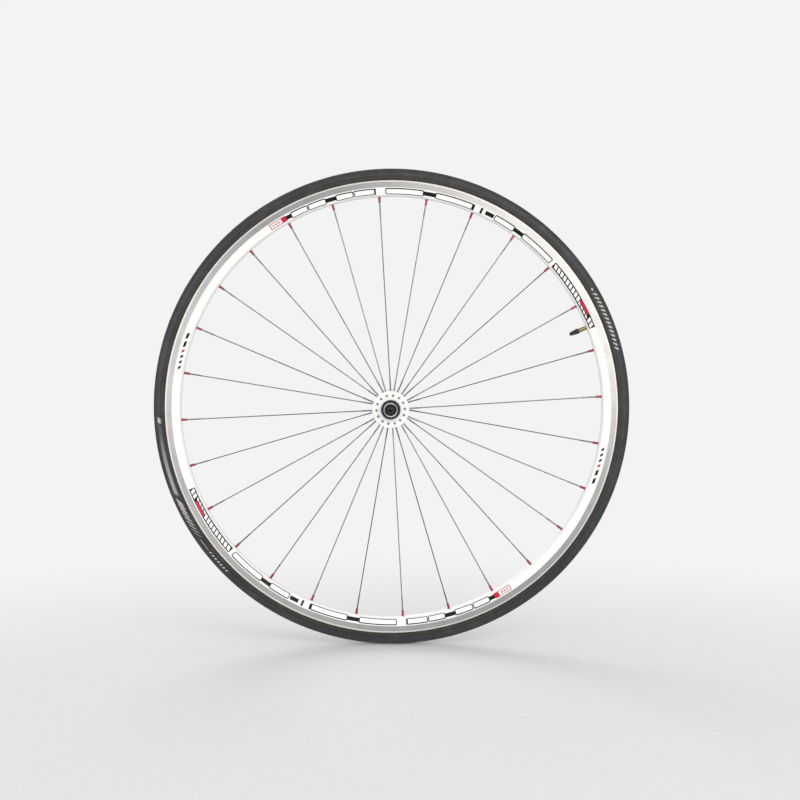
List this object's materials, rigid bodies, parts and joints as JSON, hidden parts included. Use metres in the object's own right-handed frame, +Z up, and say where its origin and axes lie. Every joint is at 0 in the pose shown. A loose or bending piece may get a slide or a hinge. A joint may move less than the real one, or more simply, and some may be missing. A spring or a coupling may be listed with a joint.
{
  "type": "bicycle front wheel",
  "caption": "Road bicycle front wheel: narrow tyre on a silver and white box rim, thin radial spokes with red nipples, and a small white hub on a hollow axle.",
  "frame": {"origin": "the wheel's centre: on the axle's axis, midway between the two contact faces", "axes": "the axle lies along Y, with the side of the picture towards -Y; +Z is up and +X is to the right as seen from that side"},
  "size_m": [0.669, 0.1084, 0.6688],
  "materials": {
    "axle_alloy": "satin",
    "white_paint": "gloss",
    "black_anodised": "satin",
    "bright_steel": "satin",
    "bearing_steel": "polished",
    "cage_plastic": "matte",
    "seal_rubber": "matte",
    "bead_wire": "satin",
    "rim_alloy": "satin",
    "plain_alloy": "satin",
    "tape_plastic": "matte",
    "tube_rubber": "matte",
    "sidewall_rubber": "matte",
    "tread_rubber": "matte",
    "red_anodised": "satin",
    "spoke_steel": "satin",
    "valve_brass": "satin",
    "cap_plastic": "satin"
  },
  "bodies": {
    "axle": {"axle": "axle_alloy", "end_cap_near": "black_anodised", "end_cap_far": "black_anodised", "contact_ring_near": "bright_steel", "contact_ring_far": "bright_steel", "bearing_inner_race_near": "bearing_steel", "bearing_inner_race_far": "bearing_steel"},
    "wheel": {"hub_shell": "white_paint", "bearing_outer_race_near": "bearing_steel", "bearing_outer_race_far": "bearing_steel", "bearing_seals_near": "seal_rubber", "bearing_seals_far": "seal_rubber", "bead_core_near": "bead_wire", "bead_core_far": "bead_wire", "rim": "rim_alloy", "rim_joint_sleeve": "plain_alloy", "rim_tape": "tape_plastic", "inner_tube": "tube_rubber", "tyre_casing": "sidewall_rubber", "tyre_tread": "tread_rubber", "nipples_near": "red_anodised", "nipples_far": "red_anodised", "valve_stem": "valve_brass", "spoke_near_01": "spoke_steel", "spoke_near_02": "spoke_steel", "spoke_near_03": "spoke_steel", "spoke_near_04": "spoke_steel", "spoke_near_05": "spoke_steel", "spoke_near_06": "spoke_steel", "spoke_near_07": "spoke_steel", "spoke_near_08": "spoke_steel", "spoke_near_09": "spoke_steel", "spoke_near_10": "spoke_steel", "spoke_near_11": "spoke_steel", "spoke_near_12": "spoke_steel", "spoke_near_13": "spoke_steel", "spoke_near_14": "spoke_steel", "spoke_far_01": "spoke_steel", "spoke_far_02": "spoke_steel", "spoke_far_03": "spoke_steel", "spoke_far_04": "spoke_steel", "spoke_far_05": "spoke_steel", "spoke_far_06": "spoke_steel", "spoke_far_07": "spoke_steel", "spoke_far_08": "spoke_steel", "spoke_far_09": "spoke_steel", "spoke_far_10": "spoke_steel", "spoke_far_11": "spoke_steel", "spoke_far_12": "spoke_steel", "spoke_far_13": "spoke_steel", "spoke_far_14": "spoke_steel"},
    "ball_set_near": {"bearing_balls_near": "bearing_steel", "bearing_cage_near": "cage_plastic"},
    "ball_set_far": {"bearing_balls_far": "bearing_steel", "bearing_cage_far": "cage_plastic"},
    "valve_pin": {"valve_pin": "valve_brass"},
    "valve_lock_nut": {"valve_lock_nut": "valve_brass"},
    "valve_cap": {"valve_cap": "cap_plastic"}
  },
  "joints": [
    {"name": "wheel_spin", "type": "hinge", "parent": "axle", "child": "wheel", "pos_m": [0, 0, 0], "axis": [0, 1, 0], "continuous": true},
    {"name": "near_ball_set_roll", "type": "hinge", "parent": "axle", "child": "ball_set_near", "pos_m": [0, -0.0382, 0], "axis": [0, 1, 0], "continuous": true},
    {"name": "far_ball_set_roll", "type": "hinge", "parent": "axle", "child": "ball_set_far", "pos_m": [0, 0.0382, 0], "axis": [0, 1, 0], "continuous": true},
    {"name": "valve_pin_press", "type": "slide", "parent": "wheel", "child": "valve_pin", "axis": [0.924, 0, 0.3825], "range_m": [0, 0.0011], "stiffness_N_per_m": 2000, "springref_m": -0.004},
    {"name": "valve_nut_turn", "type": "hinge", "parent": "valve_pin", "child": "valve_lock_nut", "pos_m": [0.25626, 0, 0.10607], "axis": [-0.924, 0, -0.3825], "range_deg": [-900, 360]},
    {"name": "valve_cap_pull", "type": "slide", "parent": "wheel", "child": "valve_cap", "axis": [-0.924, 0, -0.3825], "range_m": [0, 0.02]}
  ],
  "couplings": [
    {"joint": "near_ball_set_roll", "follows": "wheel_spin", "ratio": 0.5882},
    {"joint": "far_ball_set_roll", "follows": "wheel_spin", "ratio": 0.5882}
  ]
}
